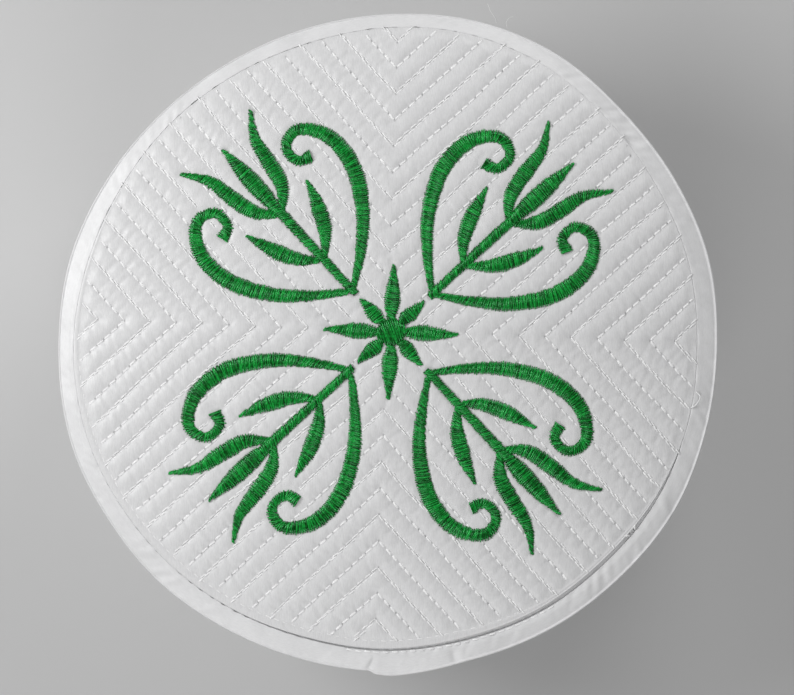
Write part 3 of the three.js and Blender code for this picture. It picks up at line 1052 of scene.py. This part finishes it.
# Columns crowd together at the lap, so that its edge is sharp.
turns = np.linspace(0, 2 * math.pi, 20001)  # fine enough to read places from
crowding = 1 + 2.5 * np.exp(-(((turns - LAP_FROM) / math.radians(1.2)) ** 2))
crowded = np.r_[0, np.cumsum((1 / crowding)[:-1])]
bearing = np.interp(even, turns, crowded / crowded[-1] * 2 * math.pi)
wall_inside = rim_of("side_band", 55.5 * MM, 56.5 * MM, False)  # at the row 56 mm up
reach = wall_inside(bearing) + 2.6 * MM  # the section has that row 2.6 mm inside the fold
seam = crown_rim(bearing) + seam_opening(bearing)
across, out, height = section[row].T * np.array([[1], [MM], [MM]])
outer_rows = len(section) - len(INNER_FACE)
outside = row < outer_rows
arc = bearing * WALL_RADIUS

radius = seam + across * (reach - seam) + out
radius += lap_step(bearing, height) * outside * ((across - 0.5) / 0.45).clip(0, 1)
radius += wall_wave(bearing, height) * (across == 1)

below_fold = np.exp(-(((height - 66 * MM) / (6 * MM)) ** 2)) * (across == 1) * outside
radius += 0.12 * MM * below_fold * cloth_noise(arc + 0.4 * height, 0.5 * height, 7 * MM, 34)
hem = np.exp(-(((height - HEM_STITCH_HEIGHT) / (0.8 * MM)) ** 2))
radius -= 0.22 * MM * hem * outside
tug = np.exp(-(((height - HEM_STITCH_HEIGHT) / (4 * MM)) ** 2)) - 0.5 * hem
radius += 0.17 * MM * tug * outside * cloth_noise(arc + 0.3 * height, 0.5 * height, 5 * MM, 33)

on_shoulder = outside & (height > 71.0 * MM)
top = on_shoulder * np.clip(across / 0.1, 0, 1) * np.clip((1 - across) / 0.08, 0, 1)
height = height + top * shoulder_puckers(arc, across, bearing)
height -= outside * (height > 70.5 * MM) * across * shoulder_tilt(bearing)
near_seam = outside * (height > 70.9 * MM) * np.clip(1 - across / 0.3, 0, 1)
height += near_seam * (0.17 * MM * (1 - gape(bearing)) - 0.45 * seam_opening(bearing).clip(0))
ridge = np.exp(-(((across - 0.2) / 0.07) ** 2)) * close_to(bearing, 200, 30)
height += on_shoulder * 0.12 * MM * ridge
scallop = 0.5 + 0.5 * np.cos(2 * math.pi * arc / SEAM_STITCH)
height -= near_seam * 0.25 * MM * scallop * close_to(bearing, 282, 19)
from_lap = (bearing - LAP_FROM) * WALL_RADIUS - (1 - across) * 2.5 * MM
lap_crease = np.exp(-((from_lap / (0.8 * MM)) ** 2)) * np.interp(across, (0.2, 0.6), (0, 1))
height -= on_shoulder * 0.35 * MM * lap_crease
dimple = (bearing - math.radians(282)) * SHOULDER_RADIUS
height -= on_shoulder * 0.45 * MM * np.exp(-((dimple / (1.0 * MM)) ** 2) - ((across - 0.6) / 0.3) ** 2)
set_points(band, np.stack([radius * np.cos(bearing), radius * np.sin(bearing), height], 1))

# The cloth's own directions: along the strip, and up it.
corners = np.empty(len(band.data.loops), int)
band.data.loops.foreach_get("vertex_index", corners)
path = np.r_[0, np.cumsum(np.linalg.norm(np.diff(drawn, axis=0), axis=1))]
length = path[-1] + np.linalg.norm(drawn[-1] - drawn[0])


def past_the_join(values, round_trip):
    """Values at each face's four corners, which run on past the join instead of starting again."""
    values = values[corners].reshape(-1, 4)
    over_join = np.ptp(values, axis=1, keepdims=True) > round_trip / 2
    return (values + round_trip * (over_join & (values < round_trip / 2))).ravel()


cloth_map = band.data.uv_layers.new(name="cloth")
along_cloth, up_cloth = past_the_join(arc, WALL_ROUND), past_the_join(path[row], length)
cloth_map.data.foreach_set("uv", np.stack([along_cloth, up_cloth], 1).ravel())


def plain_satin():
    material, tree, skin = new_material("plain white satin")
    cloth = add_node(tree, "UVMap", at=(-1100, 0), uv_map="cloth")
    # The band's satin takes more of the weave's painted crease shade than the crown's.
    weave = placed_group(tree, SATIN_WEAVE, (-700, 0), Place=cloth.outputs[0], Streak=0.35, Mottle=0.26)
    satin_finish(tree, skin, weave.outputs["Tone"], weave, (0.8, 0.8, 0.806, 1), 0.3, 0.45)
    return material


finish_piece(band, plain_satin(), "plain_satin", "side_band")

# ---------------------------------------------------------------------------------------------
# The band's stitches
# White thread like the quilting's. One row goes round the wall and holds the hem, one runs up the
# wall beside the edge of the lap, and a few stitches show in the open seam.

HEM_STITCHES = 223
BAND_STITCH_WIDTH = 0.42 * MM
BAND_STITCH_INSET = 0.22 * MM
BAND_STITCH_SUNK = 0.03 * MM
SEAM_STITCH_WIDTH = 0.55 * MM
BESIDE_LAP = 2.2 * MM
PAST_LAP = 0.006  # radians from the lap's edge to the first hole of the hem's row
OUT_IN_THE_OPEN = 120 * MM  # from the middle, clear of the cap
bpy.context.view_layer.update()


def on_wall(bearing, height):
    """Places on the outer face of the wall, a little sunk, and the way out from there."""
    bearing, height = np.broadcast_arrays(bearing, height)
    ways_out = np.stack([np.cos(bearing), np.sin(bearing), 0 * bearing], 1)
    places = []
    for way_out, level in zip(ways_out, height):
        outside_wall = OUT_IN_THE_OPEN * way_out + (0, 0, level)
        places.append(band.ray_cast(outside_wall, -way_out)[1])
    return np.array(places) - BAND_STITCH_SUNK * ways_out, ways_out


def wall_row(name, starts, ends, facing):
    return sew_row(name, starts, ends, BAND_STITCH_WIDTH, BAND_STITCH_INSET, 0.03 * MM, 0, facing)


hem_step = 2 * math.pi / HEM_STITCHES
hem_turns = LAP_FROM + PAST_LAP + np.arange(HEM_STITCHES) * hem_step
starts, facing = on_wall(hem_turns, HEM_STITCH_HEIGHT)
ends, _ = on_wall(hem_turns + 0.999 * hem_step, HEM_STITCH_HEIGHT)  # just short of the next hole
sets = [wall_row("hem", starts, ends, facing)]
climb = np.arange(3.2 * MM, 69 * MM, STITCH)
beside_lap = np.full(len(climb), LAP_FROM + BESIDE_LAP / WALL_RADIUS)
starts, facing = on_wall(beside_lap, climb)
ends, _ = on_wall(beside_lap, climb + STITCH)
sets.append(wall_row("lap", starts, ends, facing))

holes = np.arange(math.radians(262), math.radians(303), SEAM_STITCH / SHOULDER_RADIUS)
radius = crown_rim(holes) + seam_opening(holes) + 0.5 * MM
x, y = radius * np.cos(holes), radius * np.sin(holes)
tops = [band.ray_cast((*place, OUT_IN_THE_OPEN), (0, 0, -1))[1].z for place in zip(x, y)]
holes = np.stack([x, y, tops], 1)
sets.append(sew_row("seam", holes[:-1], holes[1:], SEAM_STITCH_WIDTH, 0.3 * MM, 0.05 * MM))
band_thread = join_pieces("band_thread", sets)
finish_piece(band_thread, WHITE_THREAD, "plain_satin")

# ---------------------------------------------------------------------------------------------
# Loose ends
# What the sewing left behind: an end of white thread that loops out of the seam at the right, a
# knot beside the open seam, and a few fibres that stand off the fold at the front.

# Each end: its thickness, then the places that it goes through, all in millimetres.
LOOSE_ENDS = {
    "thread_loop": (0.34, [
        (86.9, -12.9, 71.6), (87.1, -13.5, 72.5), (87.95, -14.5, 72.9), (87.5, -15.9, 73.0),
        (86.6, -17.15, 73.0), (85.8, -17.6, 72.7), (85.3, -17.7, 72.2),
    ]),
    "thread_knot": (0.6, [
        (69.7, -52.0, 71.9), (69.55, -51.7, 72.5), (69.5, -51.3, 72.75), (69.6, -50.9, 72.5),
        (69.9, -50.7, 71.8),
    ]),
    "seam_end": (0.55, [
        (66.5, -54.2, 71.9), (66.8, -54.0, 72.4), (67.3, -53.8, 72.6), (67.8, -53.8, 72.4),
        (68.2, -53.9, 71.8),
    ]),
    "seam_bits": (0.3, [
        (68.6, -53.2, 71.5), (68.5, -52.7, 72.1), (69.0, -52.2, 72.2), (69.3, -52.7, 71.9),
        (69.6, -52.6, 71.4),
    ]),
    "long_fibre": (0.09, [
        (30.6, 90.9, 71.2), (30.2, 92.2, 72.0), (29.0, 93.8, 72.6), (28.4, 95.4, 72.4),
        (28.1, 96.2, 72.0),
    ]),
    "short_fibre": (0.07, [
        (33.6, 89.6, 71.2), (33.4, 91.0, 71.9), (34.2, 92.2, 72.1), (35.3, 92.6, 71.9),
    ]),
}


def loose_end(name, thickness, places):
    """A round thread along a smooth curve through its places."""
    bpy.ops.object.select_all(action="DESELECT")
    bpy.ops.curve.primitive_nurbs_path_add()
    thread = newest(name)
    path = thread.data.splines[0]
    line = smooth_line(places, 0.2)
    path.points.add(len(line) - len(path.points))
    path.points.foreach_set("co", np.insert(line * MM, 3, 1, axis=1).ravel())
    thread.data.bevel_depth = thickness / 2 * MM
    thread.data.bevel_resolution = 1
    thread.data.use_fill_caps = True
    bpy.ops.object.convert(target="MESH")
    set_attribute(thread, "tone", np.full(len(thread.data.vertices), 0.8))
    thread.data.uv_layers.new(name="thread")
    return thread


loose_ends = join_pieces("loose_ends", [loose_end(name, *end) for name, end in LOOSE_ENDS.items()])
finish_piece(loose_ends, WHITE_THREAD, "plain_satin")

# ---------------------------------------------------------------------------------------------
# The stage
# A plain pale floor, three soft studio lights and a camera straight above. None of it is part of
# the cap.

FOLD_HEIGHT = 70.6 * MM
VIEW_WIDTH = 224.6 * MM  # what the camera takes in at the height of the pressed fold
LENS, SENSOR = 90, 36

bpy.ops.object.select_all(action="DESELECT")
bpy.ops.mesh.primitive_plane_add(size=4, location=(0, 0, 0))
floor = newest("floor")
material, tree, skin = new_material("pale floor")
skin.inputs["Base Color"].default_value = (0.52, 0.52, 0.52, 1)
skin.inputs["Roughness"].default_value = 0.8
floor.data.materials.append(material)

world = bpy.data.worlds.new("soft room")
bpy.context.scene.world = world
world.use_nodes = True
world.node_tree.nodes["Background"].inputs["Color"].default_value = (1, 1, 1, 1)
world.node_tree.nodes["Background"].inputs["Strength"].default_value = 0.22

LIT_PLACE = np.array((0, 0, 0.07))  # what the lights are turned to


def soft_light(name, place, size, power):
    bpy.ops.object.light_add(type="AREA", location=place)
    light = bpy.context.object
    light.name = light.data.name = name
    light.data.shape = "DISK"
    light.data.size = size
    light.data.energy = power
    direction = LIT_PLACE - place
    yaw = math.atan2(direction[1], direction[0])
    tilt = math.atan2(math.hypot(direction[0], direction[1]), -direction[2])
    light.rotation_euler = (tilt, 0, yaw - math.pi / 2)


soft_light("key from the left", (-0.357, 0.096, 0.33), 0.25, 1.3)
soft_light("fill from the front", (0.156, 0.335, 0.33), 0.25, 0.78)
soft_light("fill from the back", (-0.03, -0.369, 0.33), 0.25, 0.68)

bpy.ops.object.camera_add(
    location=(2.56 * MM, -0.8 * MM, FOLD_HEIGHT + VIEW_WIDTH * LENS / SENSOR), rotation=(0, 0, 0)
)
camera = bpy.context.object
camera.data.lens = LENS
camera.data.sensor_width = SENSOR
camera.data.clip_start = 0.01
bpy.context.scene.camera = camera
bpy.context.scene.view_settings.view_transform = "Standard"

for model in (sunk_stitch, satin_strand):
    bpy.data.objects.remove(model)
